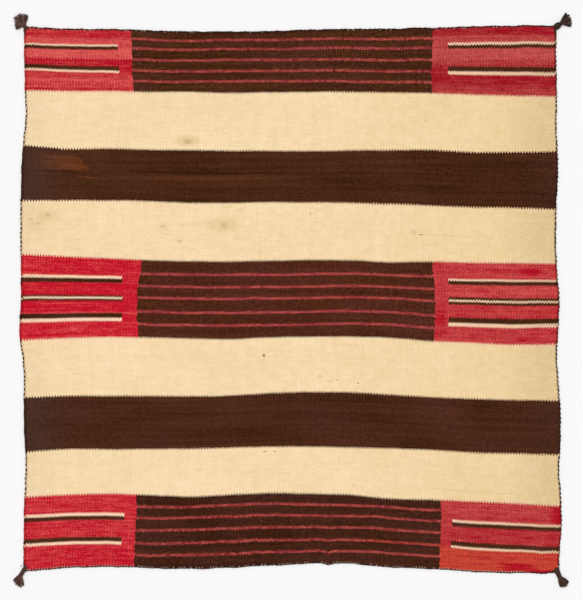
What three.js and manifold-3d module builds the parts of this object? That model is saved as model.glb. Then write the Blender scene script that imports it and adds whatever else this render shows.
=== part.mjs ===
import * as THREE from "three";
import { mergeVertices } from "three/addons/utils/BufferGeometryUtils.js";
import Module from "manifold-3d";

// A hand-woven wool blanket spread out flat: one woven cloth, a two-ply cord along each edge,
// and a knotted tassel at each corner where the cords' ends are tied off.
// Millimetres. X runs across the blanket along its bands, Y up its length, Z up from the floor.

// Cloth
const CLOTH_WIDTH = 1500; // mean width over both side cords
const CLOTH_LENGTH = 1510; // mean length over both end cords
const CLOTH_THICKNESS = 2.5;
const OUTLINE_STEP = 12; // spacing of the points along the cloth's edge
const PIECE_GAP = 0.35; // clearance between neighbouring pieces
const CLOTH_MIDDLE = { x: -3.3, y: 5 }; // the cloth's middle, from the middle of the whole reach

// Edge cords: two plies that lie side by side and cross over at every half turn
const CORD_DIAMETER = 4; // across both plies
const PLY_DIAMETER = 2.6;
const CORD_TURN = 28; // length of one full turn of the plies
const SECTIONS_PER_TURN = 4;

// Tassels
const KNOT_SIDES = 10;
const KNOT_FLATNESS = 0.7; // a knot's height as a share of its width, as it lies on the floor
const STRAND_THICKNESS = 2;
const STRAND_ROOT = 2; // how deep a strand is set into the knot
const ROOT_SPREAD = 0.45; // how far the strands' roots lie apart, as a share of the knot's radius
const STRAND_SWAY = 0.07; // sideways bow of a strand as a share of its length
const UPPER_LAYER = 1; // every other strand leaves the knot from an upper layer
const LOWER_LAYER = 0.45; // the others leave it from this share of the upper layer's height

// How far each edge stands outside the mean rectangle, from left to right and from bottom to top.
// "at" is the distance along the edge from its middle.
const TOP_EDGE = [
  { at: -750, out: 7 },
  { at: -640, out: 2 },
  { at: -460, out: -1 },
  { at: -330, out: -6 },
  { at: -105, out: -6 },
  { at: 165, out: 1 },
  { at: 300, out: 1 },
  { at: 525, out: 8 },
  { at: 750, out: 10 },
];
const BOTTOM_EDGE = [
  { at: -750, out: 11 },
  { at: -690, out: 6 },
  { at: -630, out: 1 },
  { at: -460, out: -2 },
  { at: -390, out: 2 },
  { at: -240, out: 2 },
  { at: -60, out: -6 },
  { at: 75, out: -11 },
  { at: 165, out: -10 },
  { at: 255, out: -3 },
  { at: 435, out: 6 },
  { at: 525, out: 12 },
  { at: 615, out: 15 },
  { at: 750, out: 14 },
];
const LEFT_EDGE = [
  { at: -755, out: 0 },
  { at: -560, out: -3 },
  { at: -475, out: -6 },
  { at: -350, out: -2 },
  { at: -165, out: 2 },
  { at: -115, out: 10 },
  { at: 0, out: 7 },
  { at: 240, out: 8 },
  { at: 385, out: 4 },
  { at: 450, out: -1 },
  { at: 500, out: -6 },
  { at: 590, out: -4 },
  { at: 755, out: -2 },
];
const RIGHT_EDGE = [
  { at: -755, out: 0 },
  { at: -645, out: 8 },
  { at: -570, out: 7 },
  { at: -480, out: 2 },
  { at: -390, out: 6 },
  { at: -300, out: 4 },
  { at: -160, out: -4 },
  { at: -10, out: 2 },
  { at: 130, out: -7 },
  { at: 230, out: -7 },
  { at: 350, out: -2 },
  { at: 480, out: -6 },
  { at: 585, out: -4 },
  { at: 655, out: -7 },
  { at: 755, out: -7 },
];

// The ends lie across the blanket and the sides along it; "sign" is the way out from the middle.
const ENDS = {
  top: { sign: 1, rows: TOP_EDGE },
  bottom: { sign: -1, rows: BOTTOM_EDGE },
};
const SIDES = {
  left: { sign: -1, rows: LEFT_EDGE },
  right: { sign: 1, rows: RIGHT_EDGE },
};

// One row for each tassel. The knot runs from "start" to "root", both measured from the cloth's corner.
// The strands fan out from the root between two angles, counted from +X towards +Y in degrees, and
// reach as far as the three lengths say at the fan's first strand, its middle and its last strand.
const TASSELS = [
  {
    end: "top", side: "left", knotRadius: 4.8, start: [5, -6], root: [2, 2],
    fan: [77, 202], reach: [28, 38, 26], strands: 11,
  },
  {
    end: "top", side: "right", knotRadius: 7, start: [-1, -4], root: [13.8, 6.4],
    fan: [-22, 64], reach: [29, 31, 30], strands: 8,
  },
  {
    end: "bottom", side: "left", knotRadius: 5.5, start: [3, 7], root: [-6.6, -8.4],
    fan: [213, 288], reach: [25, 33, 30], strands: 8,
  },
  {
    end: "bottom", side: "right", knotRadius: 6, start: [-5, 7], root: [0.6, -11.2],
    fan: [-86, -26], reach: [28, 34, 29], strands: 7,
  },
];

// Sections of a knot, from the cloth to the strands: share of its length, and of its radius.
const KNOT_SECTIONS = [
  { along: 0, girth: 0.5 },
  { along: 0.12, girth: 0.84 },
  { along: 0.35, girth: 1 },
  { along: 0.6, girth: 0.9 },
  { along: 0.8, girth: 0.68 },
  { along: 1, girth: 0.55 },
];

// Sections of a strand, from its root to its tip: it comes down from the knot and lies on the floor.
const STRAND_SECTIONS = [
  { along: 0, width: 0.8, lift: 2.6 },
  { along: 0.28, width: 1.2, lift: 1 },
  { along: 0.5, width: 2.4, lift: 0 },
  { along: 0.85, width: 2.4, lift: 0 },
  { along: 1, width: 1.1, lift: 0 },
];

const WOVEN_WOOL = { color: 0xead3a6, roughness: 0.95, metalness: 0 };
const CORD_WOOL = { color: 0x3c241a, roughness: 0.95, metalness: 0 };
const TASSEL_WOOL = { color: 0x412b20, roughness: 0.95, metalness: 0 };

const wasm = await Module();
wasm.setup();

/** The row at the low end of an edge where the sign is negative, and at its high end otherwise. */
function endRow(rows, sign) {
  return sign < 0 ? rows[0] : rows[rows.length - 1];
}

/** Corner of the outline between a side and an end, moved inwards by an inset. */
function cornerPoint(side, end, inset) {
  const x = CLOTH_WIDTH / 2 + endRow(side.rows, end.sign).out - inset;
  const y = CLOTH_LENGTH / 2 + endRow(end.rows, side.sign).out - inset;
  return new THREE.Vector2(side.sign * x, end.sign * y);
}

/** Points along an end edge, left to right, or a side edge, bottom to top, moved inwards by an inset. */
function edgeLine(edge, inset, steps) {
  const isEnd = edge === ENDS.top || edge === ENDS.bottom;
  const [from, to] = isEnd
    ? [cornerPoint(SIDES.left, edge, inset), cornerPoint(SIDES.right, edge, inset)]
    : [cornerPoint(edge, ENDS.bottom, inset), cornerPoint(edge, ENDS.top, inset)];
  const half = (isEnd ? CLOTH_LENGTH : CLOTH_WIDTH) / 2;
  const outline = new THREE.CubicInterpolant(
    edge.rows.map(({ at }) => at),
    edge.rows.map(({ out }) => out),
    1,
  );
  return Array.from({ length: steps + 1 }, (_, step) => {
    const point = new THREE.Vector2().lerpVectors(from, to, step / steps);
    const [out] = outline.evaluate(isEnd ? point.x : point.y);
    const across = edge.sign * (half + out - inset);
    return isEnd ? point.setY(across) : point.setX(across);
  });
}

/** Closed body through rings of equal size, each counter-clockwise as seen from the last ring. */
function loft(rings) {
  const sides = rings[0].length;
  const last = (rings.length - 1) * sides;
  const index = [];
  for (let ring = 0; ring < last; ring += sides) {
    for (let side = 0; side < sides; side += 1) {
      const here = ring + side;
      const next = ring + ((side + 1) % sides);
      index.push(here, next, next + sides, here, next + sides, here + sides);
    }
  }
  for (let side = 1; side + 1 < sides; side += 1) {
    index.push(0, side + 1, side);
    index.push(last, last + side, last + side + 1);
  }
  const geometry = new THREE.BufferGeometry();
  const points = rings.flat().flatMap((point) => point.toArray());
  geometry.setAttribute("position", new THREE.Float32BufferAttribute(points, 3));
  geometry.setIndex(index);
  return geometry;
}

/** A geometry as a solid that can be joined and cut. */
function toSolid(geometry) {
  const bare = geometry.clone();
  bare.deleteAttribute("normal");
  bare.deleteAttribute("uv");
  const merged = mergeVertices(bare);
  const vertProperties = new Float32Array(merged.attributes.position.array);
  const triVerts = new Uint32Array(merged.index.array);
  return new wasm.Manifold(new wasm.Mesh({ numProp: 3, vertProperties, triVerts }));
}

/** A solid as a named mesh with its own wool. */
function toMesh(name, solid, wool) {
  const { vertProperties, triVerts } = solid.getMesh();
  const geometry = new THREE.BufferGeometry();
  geometry.setAttribute("position", new THREE.BufferAttribute(vertProperties, 3));
  geometry.setIndex(new THREE.BufferAttribute(triVerts, 1));
  geometry.computeVertexNormals();
  const mesh = new THREE.Mesh(geometry, new THREE.MeshStandardMaterial(wool));
  mesh.name = name;
  return mesh;
}

/** The woven cloth, a flat sheet inside the edge cords. */
function clothSolid() {
  const inset = CORD_DIAMETER + PIECE_GAP;
  const steps = Math.round(CLOTH_LENGTH / OUTLINE_STEP);
  const outline = [
    ...edgeLine(ENDS.bottom, inset, steps).slice(0, -1),
    ...edgeLine(SIDES.right, inset, steps).slice(0, -1),
    ...edgeLine(ENDS.top, inset, steps).reverse().slice(0, -1),
    ...edgeLine(SIDES.left, inset, steps).reverse().slice(0, -1),
  ];
  const sheet = { depth: CLOTH_THICKNESS, bevelEnabled: false };
  return toSolid(new THREE.ExtrudeGeometry(new THREE.Shape(outline), sheet));
}

/** Section of a cord where its plies lie side by side, or where one crosses over the other. */
function cordSection(centre, across, crossed) {
  const halfWidth = (crossed ? PLY_DIAMETER : CORD_DIAMETER) / 2;
  const height = crossed ? CORD_DIAMETER : PLY_DIAMETER;
  const left = across.clone().multiplyScalar(halfWidth).add(centre);
  const right = across.clone().multiplyScalar(-halfWidth).add(centre);
  return [
    new THREE.Vector3(left.x, left.y, height / 2),
    new THREE.Vector3(centre.x, centre.y, height),
    new THREE.Vector3(right.x, right.y, height / 2),
    new THREE.Vector3(centre.x, centre.y, 0),
  ];
}

/** A two-ply cord along an edge. A side cord stops short of the end cords that it meets. */
function cordSolid(edge, trim) {
  const length = edge.rows[edge.rows.length - 1].at - edge.rows[0].at;
  const steps = Math.round((length / CORD_TURN) * SECTIONS_PER_TURN);
  const line = edgeLine(edge, CORD_DIAMETER / 2, steps);
  const along = line[steps].clone().sub(line[0]).normalize();
  const across = new THREE.Vector2(-along.y, along.x);
  line[0].addScaledVector(along, trim);
  line[steps].addScaledVector(along, -trim);
  return toSolid(loft(line.map((centre, step) => cordSection(centre, across, step % 2 === 1))));
}

/** A tassel's two ends of the knot, and the directions along the knot and to its left. */
function knotFrame(tassel) {
  const corner = cornerPoint(SIDES[tassel.side], ENDS[tassel.end], 0);
  const start = new THREE.Vector2(...tassel.start).add(corner);
  const root = new THREE.Vector2(...tassel.root).add(corner);
  const along = root.clone().sub(start).normalize();
  const across = new THREE.Vector2(-along.y, along.x);
  return { start, root, along, across };
}

/** A tassel's knot, resting on the floor, or the room for it when it is grown by a gap. */
function knotSolid(tassel, gap) {
  const { start, root, along, across } = knotFrame(tassel);
  start.addScaledVector(along, -gap);
  root.addScaledVector(along, gap);
  const rings = KNOT_SECTIONS.map((section) => {
    const centre = new THREE.Vector2().lerpVectors(start, root, section.along);
    const radius = tassel.knotRadius * section.girth;
    const middleHeight = radius * KNOT_FLATNESS;
    return Array.from({ length: KNOT_SIDES }, (_, side) => {
      const turn = (side / KNOT_SIDES) * 2 * Math.PI;
      const point = across.clone().multiplyScalar((radius + gap) * Math.cos(turn)).add(centre);
      return new THREE.Vector3(point.x, point.y, middleHeight + (middleHeight + gap) * Math.sin(turn));
    });
  });
  return toSolid(loft(rings));
}

/** Value of the parabola through a first, a middle and a last value, at a share of the way. */
function throughThree([first, middle, last], share) {
  const straight = first + (last - first) * share;
  const rise = middle - (first + last) / 2;
  return straight + rise * 4 * share * (1 - share);
}

/** One flat-sided strand of a tassel, from inside the knot to its tip on the floor. */
function strandSolid(root, angle, reach, sway, layer) {
  const along = new THREE.Vector2(Math.cos(angle), Math.sin(angle));
  const across = new THREE.Vector2(-along.y, along.x);
  const rings = STRAND_SECTIONS.map((section) => {
    const distance = section.along * (reach + STRAND_ROOT) - STRAND_ROOT;
    const centre = root.clone().addScaledVector(along, distance);
    centre.addScaledVector(across, sway * reach * section.along * (1 - section.along));
    const left = centre.clone().addScaledVector(across, section.width / 2);
    const right = centre.clone().addScaledVector(across, -section.width / 2);
    const bottom = section.lift * layer;
    const top = bottom + STRAND_THICKNESS;
    return [
      new THREE.Vector3(left.x, left.y, bottom),
      new THREE.Vector3(left.x, left.y, top),
      new THREE.Vector3(right.x, right.y, top),
      new THREE.Vector3(right.x, right.y, bottom),
    ];
  });
  return toSolid(loft(rings));
}

/** A corner tassel: its knot with a fan of strands fused into it at their roots. */
function tasselSolid(tassel) {
  const { root, across } = knotFrame(tassel);
  const spread = ROOT_SPREAD * tassel.knotRadius;
  let solid = knotSolid(tassel, 0);
  for (let strand = 0; strand < tassel.strands; strand += 1) {
    const share = strand / (tassel.strands - 1);
    const angle = THREE.MathUtils.degToRad(THREE.MathUtils.lerp(...tassel.fan, share));
    const reach = throughThree(tassel.reach, share);
    const sway = STRAND_SWAY * (1 - 2 * share);
    const layer = strand % 2 === 0 ? LOWER_LAYER : UPPER_LAYER;
    const from = root.clone().addScaledVector(across, spread * (2 * share - 1));
    solid = solid.add(strandSolid(from, angle, reach, sway, layer));
  }
  return solid;
}

/** A piece with room cut out of it for the knots at the corners. */
function clearOfKnots(solid) {
  return TASSELS.reduce((left, tassel) => left.subtract(knotSolid(tassel, PIECE_GAP)), solid);
}

const blanket = new THREE.Group();
blanket.add(toMesh("cloth", clearOfKnots(clothSolid()), WOVEN_WOOL));
for (const [name, edge] of Object.entries(ENDS)) {
  blanket.add(toMesh(`${name}_end_cord`, clearOfKnots(cordSolid(edge, 0)), CORD_WOOL));
}
for (const [name, edge] of Object.entries(SIDES)) {
  const trim = CORD_DIAMETER / 2 + PIECE_GAP;
  blanket.add(toMesh(`${name}_side_cord`, clearOfKnots(cordSolid(edge, trim)), CORD_WOOL));
}
for (const tassel of TASSELS) {
  blanket.add(toMesh(`${tassel.end}_${tassel.side}_tassel`, tasselSolid(tassel), TASSEL_WOOL));
}
blanket.position.set(CLOTH_MIDDLE.x, CLOTH_MIDDLE.y, 0);

export default blanket;
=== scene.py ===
import bpy
import numpy as np
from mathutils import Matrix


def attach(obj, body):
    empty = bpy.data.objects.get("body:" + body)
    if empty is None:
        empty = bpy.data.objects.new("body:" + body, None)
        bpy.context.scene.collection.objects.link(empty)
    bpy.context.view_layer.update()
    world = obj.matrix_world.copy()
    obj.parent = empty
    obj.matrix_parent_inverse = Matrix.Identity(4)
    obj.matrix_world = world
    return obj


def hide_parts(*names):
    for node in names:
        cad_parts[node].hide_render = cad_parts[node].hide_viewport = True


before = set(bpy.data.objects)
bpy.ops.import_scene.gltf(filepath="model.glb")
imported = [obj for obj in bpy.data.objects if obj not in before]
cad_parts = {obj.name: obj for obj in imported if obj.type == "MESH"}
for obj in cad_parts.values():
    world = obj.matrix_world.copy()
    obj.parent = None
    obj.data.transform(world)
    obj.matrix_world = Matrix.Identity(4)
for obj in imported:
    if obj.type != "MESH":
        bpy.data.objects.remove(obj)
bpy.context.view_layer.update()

# A hand-woven wool blanket lying flat on the floor: a tapestry-woven cloth with bands across it,
# twisted cords round its edges and a tassel at each corner.
# Tables are in millimetres from the cloth's middle, x across along the bands and y up the length.
MM = 0.001
CLOTH_MIDDLE = np.array([-3.3, 5.0])  # in the frame

# Cloth
CLOTH_WIDTH = 1491.3  # inside the side cords
CLOTH_THICKNESS = 2.5
WARPS = 372
WARP_PITCH = CLOTH_WIDTH / WARPS
COLUMNS_PER_WARP = 3
RIB_DEPTH = 0.3  # from the top of a rib to the valley beside it
COCKLE = 0.7  # how far the cloth lifts off the floor in places
WEFT_PITCH = 2.1  # from one weft to the next on the same rib
TOOTH = 4.9  # how far neighbouring ribs differ at a join
BAR_TOOTH = 3.8  # the same at a bar
LINE_TOOTH = 4.8  # and at a thin line

# The chart: heights of the joins between bands at stations across the cloth, from top to bottom
FIRST_STATION = -731
STATION_STEP = 112
JOINS = np.array([
    [583, 581, 581, 578, 578, 575, 577, 578, 578, 576, 575, 571, 568, 566],
    [428, 419, 420, 417, 416, 414, 414, 413, 415, 416, 416, 410, 410, 411],
    [274, 274, 274, 272, 267, 267, 269, 268, 267, 264, 260, 255, 254, 250],
    [122, 117, 112, 107, 105, 104, 106, 108, 107, 102, 103, 100, 99, 97],
    [-116, -111, -108, -110, -113, -115, -110, -108, -108, -111, -120, -124, -130, -129],
    [-277, -273, -273, -273, -274, -272, -265, -262, -263, -269, -276, -281, -284, -286],
    [-430, -423, -424, -423, -422, -419, -416, -416, -418, -421, -425, -432, -435, -438],
    [-556, -550, -547, -551, -555, -550, -545, -547, -550, -561, -564, -569, -574, -581],
], float)
# The same lines as they stand on the loom's straight chart, with the two ends of the cloth
CHART_LINES = np.array([751, 576, 416, 265, 106, -115, -273, -424, -557, -751], float)
CHART_WIDTH = 1500.0
CHART_LENGTH = 1520.0
ROW_SHARES = np.array([0, 0.12, 0.5, 0.88])  # rows of the cloth's mesh in each band
END_SHARES = np.array([0.007, 0.022])  # more rows close to both ends of the cloth

# Bands by their top and bottom on the chart
CREAM_BANDS = [(576, 416), (265, 106), (-115, -273), (-424, -557)]
PATTERN_BANDS = {"top": (760, 576), "centre": (106, -115), "bottom": (-557, -760)}
# Where the red blocks end and the dark panel between them begins, left and right
BLOCK_EDGES = {"top": (-445, 399), "centre": (-424, 404), "bottom": (-437, 414)}
# How far these edges lean to the right from the bottom of the band to its top
BLOCK_LEANS = {"top": (-5, 5.5), "centre": (0, -4.5), "bottom": (6, 0)}

# Bars in the red blocks: where they end inside the block, how far they sink from there to the edge,
# and the yarn, top and bottom of each row
BARS = [
    # Top left block
    (-484, 0.8, [("cream", 709.2, 704.5), ("brown", 704.5, 694.9)]),
    (-481, -4.4, [("brown", 646.3, 634.3), ("cream", 634.3, 628.5)]),
    # Top right block
    (445, -1.5, [("cream", 711.5, 705.2), ("brown", 705.2, 696)]),
    (444, 0, [("brown", 649.3, 636.3), ("cream", 636.3, 627.7)]),
    # Centre left block
    (-466, 2.2, [("cream", 57.3, 49.6), ("brown", 49.6, 37.7)]),
    (-466, 0, [("brown", 2.4, -2.4), ("cream", -2.4, -7.5), ("brown", -7.5, -13.3)]),
    (-464, 0, [("brown", -47.2, -60.8), ("cream", -60.8, -69.8)]),
    # Centre right block
    (443, -2, [("cream", 59.9, 54.4), ("brown", 54.4, 43.7)]),
    (441, -1.8, [("brown", 9.8, 2.3), ("cream", 2.3, -3.1), ("brown", -3.1, -10.9)]),
    (443, -2.8, [("brown", -46.9, -61.4), ("cream", -61.4, -71.4)]),
    # Bottom left block
    (-468, -4.3, [("cream", -608.8, -616.9), ("brown", -616.9, -627.5)]),
    (-475, -4.4, [("brown", -673.2, -685.2), ("cream", -685.2, -692.9)]),
    # Bottom right block
    (445, 2, [("cream", -611, -617.9), ("brown", -617.9, -629.3)]),
    (444, 6, [("brown", -670.8, -684), ("cream", -684, -690.5)]),
]
# Thin red lines across the dark panels
LINES = [727, 701, 669, 637.4, 607.6, 67, 32, -1, -41, -77, -586, -616, -649, -684, -717]
LINE_THICKNESS = 2.7
# How far the lines of each panel sag at stations across it, from left to right
FIRST_SAG = -395
SAG_STEP = 70
LINE_SAGS = {
    "top": [0.3, 1.4, 0, -2.1, -2.8, -1.1, 0.4, -0.3, 1.1, 2.4, 1.7, 2],
    "centre": [-0.1, 0.1, -0.3, -0.8, -1.1, 2, 2.2, 0.8, -0.4, -1.5, -1.4, 1.4],
    "bottom": [3.6, 0, -2.1, -1, -0.1, 0, 2.2, 1.8, 2.2, -4.5, -2.8, 0.3],
}
MOST_SAG = 5.0

# Dye lots of the red yarn in each block, from the top down: where a lot begins, and how faded it is
DYE_LOTS = {
    "top left": [(760, 0.12), (728, 0.6), (697, 0.74), (669, 0.04), (629, 0.34), (610, 0.95), (606, 0.45),
                 (588, 0.25)],
    "top right": [(760, 0.12), (731, 0.6), (697, 0.8), (668, 0.5), (652, 0.2), (630, 0.06), (604, 0.35),
                  (588, 0.45)],
    "centre left": [(106, 0.04), (62, 0.1), (41, 0.02), (-13, 0.02), (-44, 0.5), (-47, 0.04), (-68, 0.12)],
    "centre right": [(106, 0.38), (78, 0.46), (48, 0.49), (-6, 0.35), (-67, 0.39)],
    "bottom left": [(-557, 0.17), (-600, 0.1), (-625, 0.19), (-691, 0.1), (-724, 0.03)],
    "bottom right": [(-557, 0.41), (-629, 0.27), (-690, 0.3)],
}
# How much darker or, under nothing, lighter the red of each block is
BLOCK_DEPTH = {
    "top left": 0.0, "top right": 0.27,
    "centre left": -0.2, "centre right": 0.09,
    "bottom left": -0.13, "bottom right": 0.15,
}

# Tables of marks: place across and up, half size across and along, strength, and slope if it slants.
# Old stains on the cream bands
STAINS = [
    (-287, 439, 16, 9, 0.3),
    (-672, 225, 9, 5, 0.25),
    (-720, 210, 7, 4, 0.32),
    (-700, 198, 7, 4, 0.25),
    (-350, 198, 8, 4, 0.27),
    (-303, 159, 9, 6, 0.25),
    (352, 190, 14, 12, 0.14),
    (-180, 205, 13, 11, 0.2),
    (-185, 205, 70, 26, 0.05),
    (-275, 207, 80, 6, 0.07, 0.06),
    (-670, 222, 34, 15, 0.1),
    (-705, 190, 40, 30, 0.06),
    (-350, 198, 26, 12, 0.08),
    (-287, 441, 34, 18, 0.04),
    (62, 235, 4, 3, 0.45),
    (79, 210, 6, 4, 0.15),
    (286, 482, 5, 4, 0.2),
    (380, 498, 5, 5, 0.25),
    (-72, -165, 4.2, 6, 1.0),
    (81, -228, 3, 4, 0.75),
    (129, -239, 3, 3, 0.55),
    (187, -246, 3, 3, 0.75),
    (-77, -437, 8, 2, 0.75),
    (-49, -437, 6, 2, 0.7),
    (372, 182, 9, 2.4, 0.6),
    (487, 180, 230, 3, 0.09, -0.02),
    (520, -530, 200, 3, 0.1, -0.03),
]
# Yellowed patches of the cream wool
YELLOWED = [
    (-287, 441, 44, 20, 0.95),
    (-182, 205, 64, 26, 0.5),
    (-682, 218, 60, 28, 0.3),
]
# Deeper and paler patches of red yarn, as changes of its fading
RED_PATCHES = [
    (672, 82, 52, 12, -0.5),
    (575, 84, 36, 9, -0.12),
    (540, 28, 30, 9, -0.3),
    (420, -50, 24, 26, -0.4),
    (425, -90, 30, 16, -0.25),
    (424, 30, 22, 80, -0.15),
    (738, -588, 28, 52, -0.48),
    (724, -652, 40, 34, -0.08),
    (632, -739, 64, 11, -1.15),
    (690, -748, 46, 8, -1.0),
    (625, -729, 56, 4, -0.5),
    (467, -668, 5, 4, 0.9),
    (-554, -125, 5, 4, 0.6),
]
# Lighter picks and specks in the brown wool
LIGHT_PICKS = [
    (-663, 394, 66, 2.2, 0.45),
    (-612, 366, 58, 2.2, 0.7),
    (-682, 341, 66, 2.2, 0.6),
    (-566, 334, 54, 2.2, 0.8, -0.13),
    (431, 271, 4, 3.5, 1.0),
    (266, 3, 4, 3.5, 1.0),
    (-87, -633, 4, 3.5, 1.0),
]
# Darker and warmer streaks across the upper brown band, as changes of the wool's warmth
BROWN_STREAKS = [
    (-230, 350, 330, 6, -0.4),
    (-220, 335, 310, 6, 0.6),
    (-660, 353, 110, 6, -0.4),
    (560, 340, 330, 140, -0.16),
]

# Runs over which something comes in along the chart: where it starts, and how far it takes
UPPER_STEP = (34, 50)  # of the edge of the centre left block
LOWER_STEP = (-65, -25)
UPPER_STEP_OUT = 13
LOWER_STEP_OUT = 7
BATCH_LEFT = (-722, 50)  # of the lighter batch of brown wool
BATCH_END = (-233, -9)
BATCH_SLANT = 0.9
BATCH_TOP = (400, -10)
BATCH_BOTTOM = (350, 6)
DUSTY_LEFT = (-610, -110)  # of the dustier wool beside the edges
DUSTY_RIGHT = (640, 110)
# of the cream's darkening towards the left and right sides
DARKER_LEFT = (-650, -80)
DARKER_RIGHT = (590, 120)
LINE_RUB = 6  # how far the red of a thin line shows on the brown beside it
BLEED_REACH = 14  # how far the red dye shows on the cream beside it
BLEED_JOINS = (576, 106, -115, -557)
BLEED_SIDES = (-430, 405)  # beside the red blocks, left of the first and right of the second
LATER_BROWN = -200  # the brown wool from here down is of a later, redder batch
WARMER_CREAM = 100  # the cream wool gets warmer from here to the right
# Orange red yarn: the bottom right block from here down, and a part of one thin line
ORANGE_FROM = -690
ORANGE_LINE_FROM = 222
ORANGE_LINE_ROWS = (-676, -696)

# Edge cords: two plies twisted round each other
PLY_RADIUS = 1.5
PLY_OFFSET = 1.0  # from the cord's middle to a ply's middle
# How far out from the cloth's edge the middle of each cord lies, and its height
CORD_CENTRES = {"left": 0.1, "right": 1.2, "bottom": 1.1, "top": 0.9}
CORD_HEIGHTS = {"left": 3.2, "right": 2.4, "bottom": 2.2, "top": 2.2}
CORD_TURN = 26
KNOBBLES = {"left": 0.3, "right": 0.3, "bottom": 0.9, "top": 0.9}  # small bends of the cords
CORD_ZIGZAG = 12.5  # of the right-hand cord, from bend to bend
ZIGZAG_DEPTH = 1.0
CORD_STEP = 2.6
CORD_SIDES = 6
# Loops over the edge cords: distances out from the cloth's edge and heights
LEFT_TURN = np.array([[-4, 2.4], [-2.3, 4.1], [-0.5, 5.3], [1.1, 4.5], [1.7, 2.8], [1, 1.2], [-1, 0.5]])
RIGHT_TURN = np.array([[-3, 2.3], [-0.8, 3.4], [0.5, 4.1], [1.4, 4.0], [1.9, 3.2]])
END_STITCH = np.array([[-3, 2.3], [-0.8, 3.5], [0.6, 4.1], [1.7, 3.8], [2.2, 2.9]])
END_LOOP = np.array([[-2.6, 2.1], [-1.9, 3.6], [-1, 4.4], [0, 4.3], [0.7, 3.2]])
PANEL_LOOP_SHIFT = np.array([0.3, 0.4])  # of the end loops beside a dark panel
TURN_GROUP = 12.6  # from one group of turns to the next beside the cream bands
TURN_RADIUS = 0.9
STITCH_RADIUS = 1.0
EDGE_REACH = 738  # how far from the middle the loops along an edge go
EDGE_FROM = 715  # points of the CAD cloth beyond this belong to its edges
LAST_WARP_LOOP = 650
RIPPLE = 1.1  # small in and out of the edges
# How far the cloth's edge is drawn out to the cord on each side
EDGE_EASE = {"left": 2.2, "right": 1.2, "bottom": 1.2, "top": 1.2}
# Bumps of the edges of the cloth: place along the edge, how far out, and half width
BUMPS = {
    "top": [(-330, 1.5, 22), (355, 1.8, 30), (670, 1.6, 40)],
    "bottom": [(-241, 1.6, 14), (-148, 2, 14), (64, -2.8, 20), (106, 4.4, 12), (165, -2, 25), (703, 2.2, 20)],
    "left": [],
    "right": [(370, 1.4, 25)],
}

# Knots: half widths at places along them, as shares of the knot's radius
GIRTH_PLACES = np.array([0, 0.12, 0.35, 0.6, 0.8, 1])
SLENDER_KNOT = np.array([0.6, 0.88, 1, 0.92, 0.8, 0.7])
SQUARE_KNOT = np.array([0.7, 1, 1.02, 1, 0.72, 0.38])
LONG_KNOT = np.array([0.7, 0.92, 1, 0.95, 0.9, 0.88])

# Tassels. The knot runs from "start" to "root", and the strands fan out from the root between two
# angles, counted from +x towards +y, as far as the lengths say at even steps over the fan.
TASSELS = {
    "top_left": {
        "start": (-741, 754), "root": (-747, 764), "knot_radius": 7, "knot": SLENDER_KNOT,
        "fan": (70, 206), "reach": (31, 37.5, 38.5, 27, 25), "spread": 1.1,
        "clumps": 12, "clumped": 0.45, "paler": 0.2,
        "lashing": [(12, 15), (7, 10), (3, 5)],
    },
    "top_right": {
        "start": (740, 758.5), "root": (756, 770.5), "knot_radius": 9.2, "knot": SQUARE_KNOT,
        "fan": (-22, 67), "reach": (30, 31.5, 33, 34, 34), "spread": 1.0,
        "clumps": 6, "clumped": 0.35, "paler": -0.15,
        "lashing": [(7, 34), (6, 24), (5, 15), (6, 8)],
    },
    "bottom_left": {
        "start": (-742, -751), "root": (-756.6, -774.4), "knot_radius": 7, "knot": LONG_KNOT,
        "fan": (212, 288), "reach": (26, 30, 34, 34, 31), "spread": 1.3,
        "clumps": 6, "clumped": 0.55, "paler": 0.15,
        "lashing": [(9, 10), (5, 6)],
        "loose": [(-744, -744), (-750, -749), (-755, -748), (-759, -752)],
    },
    "bottom_right": {
        "start": (742, -756), "root": (752, -779), "knot_radius": 8, "knot": LONG_KNOT,
        "fan": (-88, -26), "reach": (30, 34, 36, 34, 30), "spread": 1.3,
        "clumps": 6, "clumped": 0.45, "paler": -0.02,
        "lashing": [(28, 15), (20, 12), (13, 9), (6, 6)],
    },
}
STRANDS = 130
STRAND_RADIUS = 1.1
KNOT_FLATNESS = 0.7
KNOT_SIDES = 12
WINDING_RADIUS = 1.2
WINDING_TURNS = 6
LASHING_RADIUS = 1.9
LASHING_CORNER = 735.0  # where the cloth's corner is taken along its edges
LOOSE_RADIUS = 0.7


def tone(red, green, blue):
    """A colour as the eye names it, 0 to 255, turned into the light that the surface sends back."""
    share = np.array([red, green, blue]) / 255
    light = np.where(share <= 0.04045, share / 12.92, ((share + 0.055) / 1.055) ** 2.4)
    return (*light.tolist(), 1.0)


CREAM_PALE = tone(250, 222, 182)
CREAM_WARM = tone(234, 205, 153)
BROWN_DARK = tone(55, 26, 9)
BROWN_WARM = tone(86, 47, 26)
BROWN_DUSTY = tone(70, 49, 42)
BROWN_ORANGE = tone(112, 62, 34)
BROWN_PLUM = tone(74, 39, 40)
BROWN_RED = tone(112, 42, 42)
CRIMSON = tone(178, 15, 36)
ROSE = tone(222, 96, 90)
ORANGE_RED = tone(214, 76, 53)
STAIN_BROWN = tone(134, 98, 46)
PINK_BLEED = tone(250, 186, 172)
CORD_DARK = tone(42, 24, 18)
CORD_LIGHT = tone(78, 47, 37)
TUFT_DARK = tone(42, 26, 20)
TUFT_LIGHT = tone(120, 85, 73)
WARP_PALE = tone(250, 228, 210)
WARP_GREY = tone(206, 168, 150)
FLOOR_WHITE = tone(246, 245, 245)


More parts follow.
